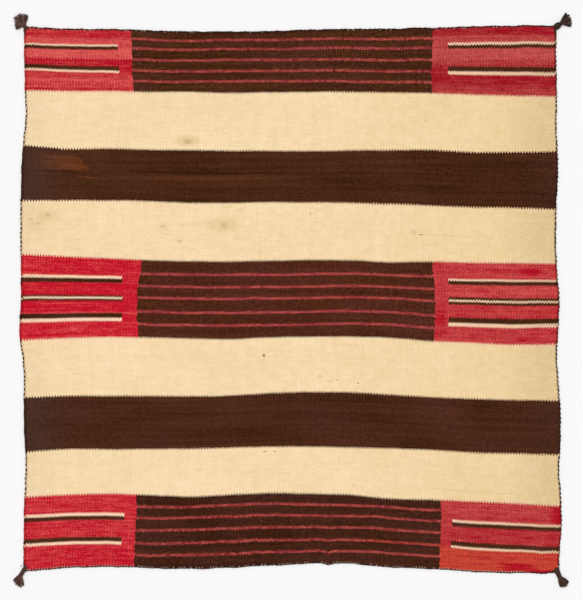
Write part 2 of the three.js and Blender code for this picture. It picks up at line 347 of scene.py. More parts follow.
class Wire:
    """A number that shader nodes work out at each point of a surface. Sums of wires add Math nodes."""

    def __init__(self, tree, socket):
        self.tree = tree
        self.socket = socket

    def math(self, operation, *others):
        made = add_node(self.tree, "ShaderNodeMath", self, *others, operation=operation)
        return Wire(self.tree, made.outputs[0])

    def __add__(self, other):
        return self.math("ADD", other)

    def __sub__(self, other):
        return self.math("SUBTRACT", other)

    def __mul__(self, other):
        return self.math("MULTIPLY", other)

    def __truediv__(self, other):
        return self.math("DIVIDE", other)

    def floor(self):
        return self.math("FLOOR")

    def below(self, level):
        """One where the number is under the level, and nothing elsewhere."""
        return self.math("LESS_THAN", level)

    def above(self, level):
        return self.math("GREATER_THAN", level)

    def between(self, one, other):
        """One where the number lies between two levels, and nothing elsewhere."""
        return self.math("COMPARE", (one + other) / 2, abs(one - other) / 2)

    def rise(self, start, run):
        """From nothing at the start to one at the end of the run, which may go either way."""
        return ((self - start) / run).clamp()

    def zigzag(self):
        """Up from 0 to 1 and down again over every two units."""
        return self.math("PINGPONG", 1.0)

    def hump(self):
        """A rounded hump over each unit, nothing at whole numbers and one half way between them."""
        return (self * np.pi).math("SINE").math("ABSOLUTE")

    def clamp(self):
        return self.math("MAXIMUM", 0.0).math("MINIMUM", 1.0)


def put(tree, socket, value):
    """Wires a value into a node's socket, or sets it there if it is a plain number or colour."""
    if isinstance(value, Wire):
        value = value.socket
    if isinstance(value, bpy.types.NodeSocket):
        tree.links.new(value, socket)
    else:
        socket.default_value = value


def add_node(tree, kind, *values, **settings):
    """Adds a node with its settings, and fills its inputs in their order."""
    made = tree.nodes.new(kind)
    for name, setting in settings.items():
        setattr(made, name, setting)
    for socket, value in zip(made.inputs, values):
        put(tree, socket, value)
    return made


def place(u, v, across, along, shift=0.0):
    """A point of the weave with lengths across and along it each counted in units of their own."""
    made = add_node(u.tree, "ShaderNodeCombineXYZ", u / across + shift, v / along + shift)
    return made.outputs[0]


def uneven(u, v, across, along, shift=0.0, detail=2.0):
    """Soft random unevenness from about -1 to 1, of that grain across and along the weave."""
    spot = place(u, v, across, along, shift)
    grain = add_node(u.tree, "ShaderNodeTexNoise", spot, noise_dimensions="2D")
    grain.inputs["Scale"].default_value = 1.0
    grain.inputs["Detail"].default_value = detail
    return Wire(u.tree, grain.outputs[0]) * 3.2 - 1.6


def chance(u, v, shift=0.0):
    """One random number from 0 to 1 for each whole step of u and v."""
    spot = place(u.floor(), v.floor(), 1.0, 1.0, shift)
    made = add_node(u.tree, "ShaderNodeTexWhiteNoise", spot, noise_dimensions="2D")
    return Wire(u.tree, made.outputs[0])


def blend(tree, share, first, second):
    """Two colours mixed by a share from 0, all first, to 1, all second."""
    made = add_node(tree, "ShaderNodeMix", data_type="RGBA")
    put(tree, made.inputs[0], share)
    put(tree, made.inputs[6], first)
    put(tree, made.inputs[7], second)
    return made.outputs[2]


def brighten(tree, colour, factor):
    """A colour made lighter or darker all over by a factor."""
    made = add_node(tree, "ShaderNodeVectorMath", operation="SCALE")
    put(tree, made.inputs[0], colour)
    put(tree, made.inputs["Scale"], factor)
    return made.outputs[0]


def wool(name, sheen):
    """A rough wool surface with a soft sheen. Returns the material, its node tree and its shader."""
    material = bpy.data.materials.new(name)
    material.use_nodes = True
    tree = material.node_tree
    surface = tree.nodes["Principled BSDF"]
    surface.inputs["Specular IOR Level"].default_value = 0.03
    surface.inputs["Sheen Weight"].default_value = sheen
    surface.inputs["Sheen Roughness"].default_value = 0.6
    return material, tree, surface


def raise_from(tree, surface, height, depth):
    """Bump from a height of 0 to 1, of that depth in millimetres."""
    bump = add_node(tree, "ShaderNodeBump")
    bump.inputs["Strength"].default_value = 0.8
    bump.inputs["Distance"].default_value = depth * MM
    put(tree, bump.inputs["Height"], height)
    put(tree, surface.inputs["Normal"], bump.outputs[0])


def weave_place(tree):
    """Where a point lies on the chart, in millimetres across and up, from the piece's weave map."""
    chart = add_node(tree, "ShaderNodeUVMap", uv_map="weave")
    split = add_node(tree, "ShaderNodeSeparateXYZ", chart.outputs[0])
    u = (Wire(tree, split.outputs[0]) - 0.5) * CHART_WIDTH
    v = (Wire(tree, split.outputs[1]) - 0.5) * CHART_LENGTH
    return u, v


def levels_along(share, places, levels, between):
    """A level from 0 to 1 that changes along a share from 0 to 1, with its levels at some places."""
    ramp = add_node(share.tree, "ShaderNodeValToRGB", share)
    ramp.color_ramp.interpolation = between
    steps = ramp.color_ramp.elements
    for number, (at, level) in enumerate(zip(places.tolist(), levels.tolist())):
        step = steps[number] if number < 2 else steps.new(at)
        step.position = at
        step.color = (level, level, level, 1.0)
    return Wire(share.tree, ramp.outputs[0])


def lot_fading(weft, block, rows):
    """How faded the red yarn of a block is: a step for each dye lot, from the top of the block down."""
    top, bottom = rows
    starts, fadings = np.array(DYE_LOTS[block]).T
    down = (weft * -1.0 + top) / (top - bottom)
    return levels_along(down, np.clip((top - starts) / (top - bottom), 0, 1), fadings, "CONSTANT")


def line_sag(u, panel):
    """How far the lines of a panel sag at u: straight from station to station."""
    sags = np.array(LINE_SAGS[panel])
    share = (u - FIRST_SAG) / (SAG_STEP * (len(sags) - 1))
    level = levels_along(share, np.linspace(0, 1, len(sags)), sags / MOST_SAG / 2 + 0.5, "LINEAR")
    return (level - 0.5) * (2 * MOST_SAG)


def marks(u, v, table):
    """Sum of the marks: each is strongest at its middle and fades out to the edge of its oval."""
    total = None
    for x, y, across, along, strength, *slope in table:
        risen = v - y - (u - x) * slope[0] if slope else v - y
        spot = place(u - x, risen, across, along)
        off = add_node(u.tree, "ShaderNodeVectorMath", spot, operation="LENGTH")
        one = ((Wire(u.tree, off.outputs["Value"]) * -1.0 + 1.0) * 1.6).clamp() * strength
        total = one if total is None else total + one
    return total


def woven_wool():
    """The weave: bands, blocks, bars and lines laid out on the chart in three wools.

    Every join is toothed, because neighbouring ribs change colour a weft or two apart: the height on the
    chart is shifted by a zigzag that repeats every two warps, and by slow unevenness. Each wool has
    its own streaks along the wefts, and every weft on every rib its own slight tone.
    """
    material, tree, surface = wool("woven_wool", 0.02)
    u, v = weave_place(tree)
    warp = u / WARP_PITCH + WARPS / 2
    teeth = (((warp + 0.5).zigzag() - 0.5) * 2.2 + 0.5).clamp() - 0.5
    drift = uneven(u, v, 60, 40) * 0.7
    own_share = chance(warp, v / 25, 3.0)
    tooth = teeth * (own_share * 0.6 + 0.7)
    weft = v + tooth * TOOTH + drift
    bar_weft = v + teeth * (own_share * 0.6 + 0.6) * BAR_TOOTH + drift

    # Yarn unevenness: long streaks along the wefts, clouds, and a tone for each weft on each rib
    streak = uneven(u, v, 420, 3.2, 11.0, 3.0)
    short_streak = uneven(u, v, 70, 4.5, 17.0)
    fine_streak = uneven(u, v, 90, 1.6, 5.0)
    cloud = uneven(u, v, 190, 120, 3.0)
    pick = v / WEFT_PITCH + warp.floor() * 0.5
    speckle = chance(warp, pick) - 0.5
    tuck = uneven(u, v, 7.5, 4.5, 37.0)
    nub = uneven(u, v, 12, 7, 45.0)
    mottle = uneven(u, v, 30, 20, 41.0)
    broad_streak = uneven(u, v, 520, 12, 51.0, 3.0)
    dab = uneven(u, v, 44, 11, 61.0)
    rib_tone = chance(warp, v / 90, 7.0) - 0.5

    # Blocks at both sides of the three patterned bands
    bands = {name: weft.between(*rows) for name, rows in PATTERN_BANDS.items()}
    jag = (chance(v / 7, v / 7) - 0.5) * 3.6
    left_edge = right_edge = u * 0.0
    for name, (top, bottom) in PATTERN_BANDS.items():
        up = (v - (top + bottom) / 2) / (top - bottom)
        (left, right), (left_lean, right_lean) = BLOCK_EDGES[name], BLOCK_LEANS[name]
        left_edge = left_edge + bands[name] * (up * left_lean + left)
        right_edge = right_edge + bands[name] * (up * right_lean + right)
    patterned = bands["top"] + bands["centre"] + bands["bottom"]
    step_out = v.rise(*UPPER_STEP) * UPPER_STEP_OUT + v.rise(*LOWER_STEP) * LOWER_STEP_OUT
    left_edge = left_edge + bands["centre"] * step_out
    in_left = (u + jag).below(left_edge) * patterned
    in_right = (u + jag).above(right_edge) * patterned
    in_block = in_left + in_right
    panel = patterned - in_block

    # Bars, which stop at their own warp inside the block
    bar = {"cream": u * 0.0, "brown": u * 0.0}
    for end, sink, rows in BARS:
        sideways = u.below(end) if end < 0 else u.above(end)
        level = bar_weft
        if sink:
            edge = np.copysign(CLOTH_WIDTH / 2, end)
            level = bar_weft + (u - end) * float(sink / (edge - end))
        for yarn, top, bottom in rows:
            bar[yarn] = bar[yarn] + level.between(top, bottom) * sideways

    # Thin lines, which sag and wander a little on their way across
    sag = u * 0.0
    for name in PATTERN_BANDS:
        sag = sag + bands[name] * line_sag(u, name)
    wander = v + sag + tooth * LINE_TOOTH + uneven(u, v, 130, 50, 9.0) + uneven(u, v, 30, 50, 13.0)
    line = u * 0.0
    beside_line = u * 0.0
    for height in LINES:
        line = line + wander.between(height - LINE_THICKNESS / 2, height + LINE_THICKNESS / 2)
        beside_line = beside_line + ((wander - height).math("ABSOLUTE") / -LINE_RUB + 1.0).clamp()
    bead = chance(warp * 0.5 + 0.25, v / 40, 19.0) - 0.5

    # Which wool shows
    cream_bands = u * 0.0
    for rows in CREAM_BANDS:
        cream_bands = cream_bands + weft.between(*rows)
    red = in_block * ((bar["cream"] + bar["brown"]) * -1.0 + 1.0) + panel * line
    cream = cream_bands + in_block * bar["cream"]
    brown = ((red + cream) * -1.0 + 1.0).clamp()

    # Red wool
    fading = panel * (uneven(u, v, 110, 12, 21.0) * 0.5 + bead * 0.6 + 0.8)
    for name, rows in PATTERN_BANDS.items():
        for side, inside in (("left", in_left), ("right", in_right)):
            block = f"{name} {side}"
            fading = fading + lot_fading(weft, block, rows) * inside * bands[name]
    lot_unevenness = streak * 0.22 + short_streak * 0.2 + fine_streak * 0.1 + cloud * 0.08 + dab * 0.14
    fading = fading + in_block * lot_unevenness
    patches = marks(u, v, RED_PATCHES) * (short_streak * 0.5 + 0.9)
    fading = (fading + patches + speckle * 0.25 + tuck * 0.05).clamp()
    orange_line = panel * u.above(ORANGE_LINE_FROM) * weft.between(*ORANGE_LINE_ROWS)
    orange = in_right * weft.below(ORANGE_FROM) + orange_line
    orange = (orange * (patches + streak * 0.6 + short_streak * 0.5 + fine_streak * 0.5 + 0.75)).clamp()
    red_wool = blend(tree, fading, CRIMSON, ROSE)
    red_wool = blend(tree, orange, red_wool, ORANGE_RED)
    depth = u * 0.0
    for name in PATTERN_BANDS:
        depth = depth + in_left * bands[name] * BLOCK_DEPTH[f"{name} left"]
        depth = depth + in_right * bands[name] * BLOCK_DEPTH[f"{name} right"]
    red_wool = brighten(tree, red_wool, depth * -1.0 + 1.0 + (patches * -0.12).clamp())

    # Brown wool, with one lighter batch near the left end of the upper brown band
    warmth = streak * 0.14 + broad_streak * 0.34 + cloud * 0.2 + fine_streak * 0.1 + speckle * 0.25
    warmth = warmth + nub * 0.09 + marks(u, v, BROWN_STREAKS) + panel * v.below(LATER_BROWN) * -0.25
    brown_wool = blend(tree, (warmth + 0.46).clamp(), BROWN_DARK, BROWN_WARM)
    plum = v.below(LATER_BROWN) * 0.1 + panel * 0.07 + cloud * 0.2
    brown_wool = blend(tree, plum.clamp(), brown_wool, BROWN_PLUM)
    rubbed_off = beside_line * (bands["centre"] * 0.25 + bands["bottom"] * 0.15 + 0.58)
    brown_wool = blend(tree, panel * (rubbed_off + bands["centre"] * 0.11), brown_wool, BROWN_RED)
    batch_ends = (u + v * BATCH_SLANT).rise(*BATCH_END) * u.rise(*BATCH_LEFT)
    batch = batch_ends * v.rise(*BATCH_BOTTOM) * v.rise(*BATCH_TOP)
    batch = (batch * (short_streak * 0.4 + fine_streak * 0.3 + 0.55)).clamp()
    brown_wool = blend(tree, batch, brown_wool, BROWN_ORANGE)
    brown_wool = blend(tree, marks(u, v, LIGHT_PICKS), brown_wool, BROWN_ORANGE)
    dusty = u.rise(*DUSTY_LEFT) * 0.6 + u.rise(*DUSTY_RIGHT) * 0.2
    dusty = dusty * (in_block * -1.0 + 1.0)
    brown_wool = blend(tree, dusty, brown_wool, BROWN_DUSTY)

    # Cream wool, warmer to the right, with old marks and a little dye from the red beside it
    right_warmth = (u - WARMER_CREAM).math("MAXIMUM", 0.0) / CHART_WIDTH
    warm = right_warmth * 1.4 + cloud * 0.16 + streak * 0.12 + short_streak * 0.16 + mottle * 0.22
    warm = (warm + marks(u, v, YELLOWED) + in_block * -0.5 + 0.36).clamp()
    cream_wool = blend(tree, warm, CREAM_PALE, CREAM_WARM)
    smudge = ((uneven(u, v, 40, 18, 71.0) - 0.55).math("MAXIMUM", 0.0)) * 0.2
    cream_wool = blend(tree, marks(u, v, STAINS) + smudge, cream_wool, STAIN_BROWN)
    bleed = u * 0.0
    for join in BLEED_JOINS:
        near = ((v - join).math("ABSOLUTE") / -BLEED_REACH + 1.0).clamp()
        bleed = bleed + near * near
    beside = u.below(BLEED_SIDES[0]) + u.above(BLEED_SIDES[1])
    cream_wool = blend(tree, bleed * beside * 0.3 + in_block * 0.38, cream_wool, PINK_BLEED)

    # The three wools together, with painted shade in the valleys between the ribs and between the wefts
    colour = blend(tree, brown, cream_wool, brown_wool)
    colour = blend(tree, red.clamp(), colour, red_wool)
    rib = warp.hump()
    relief = rib * (pick.hump() * 0.35 + 0.65)
    grain = red * 0.2 + cream * 0.03 + brown * 0.2 + panel * 0.22
    pair_line = (warp + 0.5).zigzag() - 0.5
    broken = uneven(u, v, 14, 9, 31.0) * 0.8 + 0.7
    lines = red * 0.36 + brown * 0.34 + panel * 0.06
    # Cream darker towards the left and right sides, and in the bars of the right blocks
    side_darkening = u.rise(*DARKER_RIGHT) * 0.115 + u.rise(*DARKER_LEFT) * 0.06 + in_right * 0.08
    # wool grain of the cream, made stronger to the right as painted shading of light grazing the ribs
    grain_and_grazing_shade = (tuck * 0.016 + nub * 0.012) * (right_warmth * 2.0 + 1.0)
    # relief lightens the rib tops, so the valleys get painted shade, faint on the cream
    shade = relief * (cream * -0.08 + 0.1) + cream * (grain_and_grazing_shade - side_darkening + 0.028) + 0.94 + rib_tone * 0.03
    shade = shade + (speckle + tuck * 0.4 + nub * 0.6) * grain + pair_line * broken * lines
    shade = shade + panel * line * bead * 0.5
    put(tree, surface.inputs["Base Color"], brighten(tree, colour, shade))
    fibre = uneven(u, v, 1.1, 0.35, 2.0)
    put(tree, surface.inputs["Roughness"], fibre * 0.04 + 0.93)
    soft_ribs = v * 0.0
    for rows in CREAM_BANDS:
        soft_ribs = soft_ribs + v.between(*rows)
    raise_from(tree, surface, relief * (soft_ribs * -0.7 + 1.0) + fibre * 0.08, 0.45)
    return material


def yarn_wool(name, dark, light, twist):
    """Spun yarn: the wool's two tones in slanting stripes along the yarn, with a tone for each strand.

    The weave map of a yarn runs along it in millimetres and once round it, so the stripes wind.
    """
    material, tree, surface = wool(name, 0.05)
    chart = add_node(tree, "ShaderNodeUVMap", uv_map="weave")
    split = add_node(tree, "ShaderNodeSeparateXYZ", chart.outputs[0])
    along = Wire(tree, split.outputs[0])
    around = Wire(tree, split.outputs[1])
    own = add_node(tree, "ShaderNodeAttribute", attribute_name="tone")
    own_tone = Wire(tree, own.outputs["Fac"])
    fibre = uneven(along + around * twist, around, 2.2, 0.08, 4.0, 3.0)
    patch = uneven(along, around, 22, 3, 8.0)
    share = (fibre * 0.22 + patch * 0.16 + own_tone * 0.7 + 0.1).clamp()
    put(tree, surface.inputs["Base Color"], blend(tree, share, dark, light))
    put(tree, surface.inputs["Roughness"], fibre * 0.05 + 0.9)
    groove = (along / twist + around * 3.0).hump()
    raise_from(tree, surface, groove + fibre * 0.2, 0.25)
    return material


def smooth_line(x, heights):
    """Height of a chart line at x: a cubic through its stations that keeps the slope at each of them."""
    padded = np.concatenate([[2 * heights[0] - heights[1]], heights, [2 * heights[-1] - heights[-2]]])
    steps = (x - FIRST_STATION) / STATION_STEP
    station = np.clip(np.floor(steps).astype(int), 0, len(heights) - 2)
    t = steps - station
    a, b, c, d = (padded[station + offset] for offset in range(4))
    return b + 0.5 * t * (c - a + t * (2 * a - 5 * b + 4 * c - d + t * (3 * (b - c) + d - a)))


def cad_edge(axis, sign):
    """The cloth's edge on one side, read from the CAD cloth: places along it and how far out it lies."""
    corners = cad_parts["cloth"].data.vertices
    points = np.empty(len(corners) * 3)
    corners.foreach_get("co", points)
    points = points.reshape(-1, 3)[:, :2] / MM - CLOTH_MIDDLE
    there = (sign * points[:, axis] > EDGE_FROM) & (np.abs(points[:, 1 - axis]) < EDGE_REACH)
    along, out = points[there, 1 - axis], points[there, axis]
    order = np.argsort(along)
    return along[order], out[order]


EDGES = {
    "left": cad_edge(0, -1),
    "right": cad_edge(0, 1),
    "bottom": cad_edge(1, -1),
    "top": cad_edge(1, 1),
}


def waver(along, shift):
    """Slow in and out of a hand-laid cord, from about -1 to 1: three waves of odd lengths."""
    waves = [np.sin(along / length + turn * shift) for turn, length in enumerate((17, 41, 7.3), 1)]
    return sum(waves) / 3


def edge_at(side, along):
    """Where the cloth's edge lies at a place along it: the CAD cloth's edge with its bumps and ripples."""
    out = EDGE_EASE[side] + RIPPLE * waver(along, len(side) + 0.3 * ord(side[0]))
    for middle, height, half_width in BUMPS[side]:
        out = out + height * np.exp(-(((along - middle) / half_width) ** 2))
    return np.interp(along, *EDGES[side]) + (out if side in ("right", "top") else -out)


def chart_lines_at(x):
    """Heights of all chart lines at x, from the top edge through the joins to the bottom edge."""
    inner = [smooth_line(x, heights) for heights in JOINS]
    return np.stack([edge_at("top", x), *inner, edge_at("bottom", x)])


def cockle(x, y):
    """Lift of the cloth off the floor: two crossed slow waves, never under nothing."""
    wave = np.sin(x / 95 + 1.3 * np.sin(y / 210)) * np.sin(y / 88 + 0.9 * np.sin(x / 170))
    return COCKLE * (0.5 + 0.5 * wave)


def to_frame(points):
    """Millimetres from the cloth's middle turned into metres in the frame."""
    moved = np.array(points, float)
    moved[..., :2] += CLOTH_MIDDLE
    return moved * MM


def make_piece(name, points, faces, weave_map, material, tones=None):
    """A mesh piece from its points in millimetres and its faces, with its weave map and tones."""
    mesh = bpy.data.meshes.new(name)
    mesh.from_pydata(to_frame(points.reshape(-1, 3)).tolist(), [], faces)
    mesh.polygons.foreach_set("use_smooth", np.ones(len(mesh.polygons), bool))
    corner = np.empty(len(mesh.loops), np.int32)
    mesh.loops.foreach_get("vertex_index", corner)
    layer = mesh.uv_layers.new(name="weave")
    layer.uv.foreach_set("vector", weave_map.reshape(-1, 2)[corner].astype(np.float32).ravel())
    if tones is not None:
        mesh.attributes.new("tone", "FLOAT", "POINT").data.foreach_set("value", tones.ravel())
    mesh.materials.append(material)
    mesh.update()
    piece = bpy.data.objects.new(name, mesh)
    bpy.context.scene.collection.objects.link(piece)
    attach(piece, "root")
    return piece


def chart_map(across, along):
    """Chart places in millimetres as a weave map from 0 to 1."""
    return np.stack([across / CHART_WIDTH + 0.5, along / CHART_LENGTH + 0.5], -1)


def chart_rows():
    """Rows of the cloth's mesh: the band that each lies in, its share of it, and its chart height."""
    shares = [ROW_SHARES] * (len(CHART_LINES) - 1)
    shares[0] = np.concatenate([ROW_SHARES[:1], END_SHARES, ROW_SHARES[1:]])
    shares[-1] = np.concatenate([ROW_SHARES, 1 - END_SHARES[::-1], [1.0]])
    band = np.repeat(np.arange(len(shares)), [len(some) for some in shares])
    share = np.concatenate(shares)
    height = CHART_LINES[band] + share * (CHART_LINES[band + 1] - CHART_LINES[band])
    return band, share, height


def row_heights(x):
    """Heights of the mesh rows at x, one row of x for each: between the lines above and below."""
    band, share, _ = chart_rows()
    lines = chart_lines_at(x)
    rows = np.arange(len(band))
    above, below = lines[band, rows], lines[band + 1, rows]
    return above + share[:, None] * (below - above)


def cloth_surface():
    """The cloth: a grid whose columns follow the warps and whose rows follow the bands.

    A row runs from the left edge to the right one in even steps, three to a warp: one in the valley
    and two on the rib. Its height comes from the chart lines. The upper and the under side are a
    thickness apart, ribbed alike, and meet all round at half the thickness.
    """
    rows = len(chart_rows()[0])
    columns = WARPS * COLUMNS_PER_WARP + 1
    side_heights = row_heights(np.tile([-CLOTH_WIDTH / 2, CLOTH_WIDTH / 2], (rows, 1)))
    left = edge_at("left", side_heights[:, :1])
    right = edge_at("right", side_heights[:, 1:])
    x = left + (right - left) * np.linspace(0, 1, columns)
    y = row_heights(x)
    valley = (np.arange(columns) % COLUMNS_PER_WARP == 0) * RIB_DEPTH
    lift = cockle(x, y)
    upper = lift + CLOTH_THICKNESS - valley
    under = lift + valley
    middle = lift + CLOTH_THICKNESS / 2
    rim = np.ones((rows, columns), bool)
    rim[1:-1, 1:-1] = False
    upper[rim] = middle[rim]
    points = np.concatenate([np.stack([x, y, upper], -1)[None], np.stack([x, y, under], -1)[None]])
    number = np.arange(2 * rows * columns).reshape(2, rows, columns)
    number[1][rim] = number[0][rim]
    quads = []
    for layer, order in ((0, (0, 1, 2, 3)), (1, (3, 2, 1, 0))):
        grid = number[layer]
        square = [grid[1:, :-1], grid[1:, 1:], grid[:-1, 1:], grid[:-1, :-1]]
        quads.append(np.stack([square[corner] for corner in order], -1).reshape(-1, 4))
    faces = np.concatenate(quads)
    used, faces = np.unique(faces, return_inverse=True)
    across = np.broadcast_to(np.linspace(-0.5, 0.5, columns) * CLOTH_WIDTH, (rows, columns))
    along = np.broadcast_to(chart_rows()[2][:, None], (rows, columns))
    one_side = chart_map(across, along)
    weave_map = np.concatenate([one_side[None], one_side[None]]).reshape(-1, 2)
    return points.reshape(-1, 3)[used], faces.reshape(-1, 4).tolist(), weave_map[used]


def unit(vectors):
    """Vectors made one long."""
    return vectors / np.maximum(np.linalg.norm(vectors, axis=-1, keepdims=True), 1e-9)


def yarns(paths, radii, reference, sides):
    """Round yarns along paths: at each point a ring of that radius, square to the path.

    Paths are an array of yarns, points and coordinates. One axis of each ring is the part of the
    reference direction that is square to the path, and the other is square to both. Both ends are
    closed. The weave map runs along the yarn in millimetres and once round it.
    """
    count, steps = paths.shape[:2]
    forward = unit(np.gradient(paths, axis=1))
    first = np.broadcast_to(reference, paths.shape)
    first = unit(first - (first * forward).sum(-1, keepdims=True) * forward)
    second = np.cross(forward, first)
    turn = np.linspace(0, 2 * np.pi, sides, endpoint=False)
    rings = first[:, :, None] * np.cos(turn)[:, None] + second[:, :, None] * np.sin(turn)[:, None]
    points = paths[:, :, None] + rings * np.broadcast_to(radii, (count, steps))[:, :, None, None]
    number = np.arange(count * steps * sides).reshape(count, steps, sides)
    after = np.roll(number, -1, axis=2)
    square = np.stack([number[:, :-1], after[:, :-1], after[:, 1:], number[:, 1:]], -1)
    caps = np.concatenate([number[:, 0, ::-1], number[:, -1]])
    faces = square.reshape(-1, 4).tolist() + caps.tolist()
    length = np.cumsum(np.linalg.norm(np.diff(paths, axis=1, prepend=paths[:, :1]), axis=-1), axis=1)
    along = np.broadcast_to(length[:, :, None], (count, steps, sides))
    around = np.broadcast_to(turn / (2 * np.pi), (count, steps, sides))
    return points.reshape(-1, 3), faces, np.stack([along, around], -1).reshape(-1, 2)


def joined(parts):
    """Several lots of yarns as one: points, faces and weave map, with the faces counted on."""
    points, faces, maps = [], [], []
    total = 0
    for part_points, part_faces, part_map in parts:
        faces += [[corner + total for corner in face] for face in part_faces]
        points.append(part_points)
        maps.append(part_map)
        total += len(part_points)
    return np.concatenate(points), faces, np.concatenate(maps)


def edge_path(side, along, out):
    """Points along a side of the cloth, moved out from its edge."""
    sign = 1 if side in ("right", "top") else -1
    far = edge_at(side, along) + sign * out
    level = np.zeros_like(far)
    if side in ("left", "right"):
        return np.stack([far, along, level], -1)
    return np.stack([along, far, level], -1)


def outward(side):
    """The direction out of the cloth on one side."""
    directions = {"left": (-1, 0, 0), "right": (1, 0, 0), "bottom": (0, -1, 0), "top": (0, 1, 0)}
    return np.array(directions[side], float)


def cord_plies(side, reach):
    """A two-ply cord along a side: each ply winds round the cord's middle line, half a turn apart."""
    steps = int(2 * reach / CORD_STEP)
    along = np.linspace(-reach, reach, steps)
    shift = {"left": 0.4, "right": 1.7, "bottom": 2.9, "top": 4.1}[side]
    out = CORD_CENTRES[side] + 0.4 * waver(along, shift) + KNOBBLES[side] * waver(along * 3.3, shift + 5)
    if side == "right":
        out = out + ZIGZAG_DEPTH * np.sin(2 * np.pi * along / CORD_ZIGZAG)
    middle = edge_path(side, along, out)
    middle[:, 2] = CORD_HEIGHTS[side] + cockle(middle[:, 0], middle[:, 1])
    phase = 2 * np.pi * (along / CORD_TURN + 0.12 * waver(along, shift + 1))
    turn = np.stack([phase, phase + np.pi])[:, :, None]
    offset = np.cos(turn) * outward(side) + np.sin(turn) * np.array([0, 0, 1.0])
    paths = middle[None] + PLY_OFFSET * offset
    radii = PLY_RADIUS * (1 + 0.14 * waver(along * 1.7, shift + 2))
    return yarns(paths, radii, outward(side), CORD_SIDES)


def loops(side, along, profile, lean, radius):
    """Loops of yarn that come out of the cloth round its edge cord.

    The profile gives points of a loop as distances out from the cloth's edge and heights. A loop
    leans along the edge from its first point to its last.
    """
    sign = 1 if side in ("right", "top") else -1
    steps = len(profile)
    spread = along[:, None] + np.linspace(-0.5, 0.5, steps) * lean
    paths = edge_path(side, spread.ravel(), np.tile(profile[:, 0], len(along)))
    paths = paths.reshape(len(along), steps, 3)
    paths[:, :, 2] = profile[:, 1] + cockle(paths[:, :, 0], paths[:, :, 1])
    run = np.array([0, 1.0, 0]) if side in ("left", "right") else np.array([1.0, 0, 0])
    return yarns(paths, radius, run * sign, 5)


def chart_height(side, y):
    """The chart height that belongs to a height y at the left or right edge of the cloth."""
    rows = len(chart_rows()[0])
    x = np.full((rows, 1), CLOTH_WIDTH / 2 if side == "right" else -CLOTH_WIDTH / 2)
    return np.interp(y, row_heights(x)[::-1, 0], chart_rows()[2][::-1])


def weft_turns(side, profile, covered, material, chooser):
    """Turns of the wefts round a side cord, in the colours of the bands that they belong to.

    Beside the cream bands they lie in groups and leave the dark cord bare between them; elsewhere
    nearly every weft shows its turn.
    """
    places = np.arange(-EDGE_REACH, EDGE_REACH, WEFT_PITCH)
    height = chart_height(side, places)
    beside_cream = np.any([(height < top) & (height > bottom) for top, bottom in CREAM_BANDS], axis=0)
    group = (places + 4 * waver(places, 2.2)) / TURN_GROUP
    in_group = group - np.floor(group) < covered + 0.2 * waver(places, 0.7)
    kept = np.where(beside_cream, in_group, chooser.random(len(places)) < 0.9)
    places, height = places[kept], height[kept]
    points, faces, _ = loops(side, places, profile, 1.8, TURN_RADIUS)
    edge = CLOTH_WIDTH / 2 - WARP_PITCH / 2
    across = np.full(len(points), edge if side == "right" else -edge)
    weave_map = chart_map(across, np.repeat(height, len(points) // len(places)))
    return make_piece(f"{side}_weft_turns", points, faces, weave_map, material)


def end_turns(side, share, material, chooser):
    """Stitches of the outermost weft that catch the end cord here and there, in the weft's colour."""
    places = np.arange(-EDGE_REACH, EDGE_REACH, WARP_PITCH)
    places = places[chooser.random(len(places)) < share]
    points, faces, _ = loops(side, places, END_STITCH, 2.2, STITCH_RADIUS)
    across = np.repeat(places, len(points) // len(places))
    along = np.full(len(points), CHART_LINES[0] - 2 if side == "top" else CHART_LINES[-1] + 2)
    return make_piece(f"{side}_stitches", points, faces, chart_map(across, along), material)


def warp_loops(side, share, radius, material, chooser):
    """Ends of the warps that show as pale loops inside an end cord, one for every two warps."""
    places = np.arange(-EDGE_REACH, LAST_WARP_LOOP, 2 * WARP_PITCH)
    places = places + chooser.uniform(-0.8, 0.8, len(places))
    beside_panel = (places > BLOCK_EDGES[side][0]) & (places < BLOCK_EDGES[side][1])
    kept = chooser.random(len(places)) < np.where(beside_panel, share * 0.65, share)
    points, faces, weave_map = joined([
        loops(side, places[kept & ~beside_panel], END_LOOP, 1.0, radius),
        loops(side, places[kept & beside_panel], END_LOOP + PANEL_LOOP_SHIFT, 1.0, radius * 0.8),
    ])
    tones = np.repeat(chooser.random(kept.sum()), len(points) // kept.sum())
    return make_piece(f"{side}_warp_loops", points, faces, weave_map, material, tones)


def knot_frame(tassel):
    """A tassel's knot: its two ends, and the directions along it and to its left, flat on the floor."""
    start = np.array([*tassel["start"], 0.0])
    root = np.array([*tassel["root"], 0.0])
    along = unit(root - start)
    return start, root, along, np.array([-along[1], along[0], 0.0])


def girths(tassel, steps):
    """Half width of a knot along its axis: thickest a third of the way, and thin where the strands start."""
    return tassel["knot_radius"] * np.interp(steps, GIRTH_PLACES, tassel["knot"])


def knot_core(tassel):
    """The body of a knot: oval sections along its axis, as wide as its girths say."""
    start, root, along, across = knot_frame(tassel)
    steps = np.linspace(0, 1, 9)
    girth = girths(tassel, steps)
    path = start + (root - start) * steps[:, None]
    path[:, 2] = girth * KNOT_FLATNESS
    points, faces, weave_map = yarns(path[None], girth[None] - WINDING_RADIUS * 0.5, across, KNOT_SIDES)
    low = np.repeat(path[:, 2], KNOT_SIDES)
    points[:, 2] = low + (points[:, 2] - low) * KNOT_FLATNESS
    return points, faces, weave_map


def knot_winding(tassel):
    """Yarn wound round a knot: a helix along its axis, oval like the knot's body."""
    start, root, along, across = knot_frame(tassel)
    steps = np.linspace(0, 1, WINDING_TURNS * 14)
    girth = girths(tassel, steps)
    turn = 2 * np.pi * WINDING_TURNS * steps
    path = start + (root - start) * steps[:, None]
    path = path + across * ((girth - WINDING_RADIUS) * np.cos(turn))[:, None]
    tall = girth * KNOT_FLATNESS
    path[:, 2] = tall + (tall - WINDING_RADIUS) * np.sin(turn)
    return yarns(path[None], WINDING_RADIUS, along, 6)


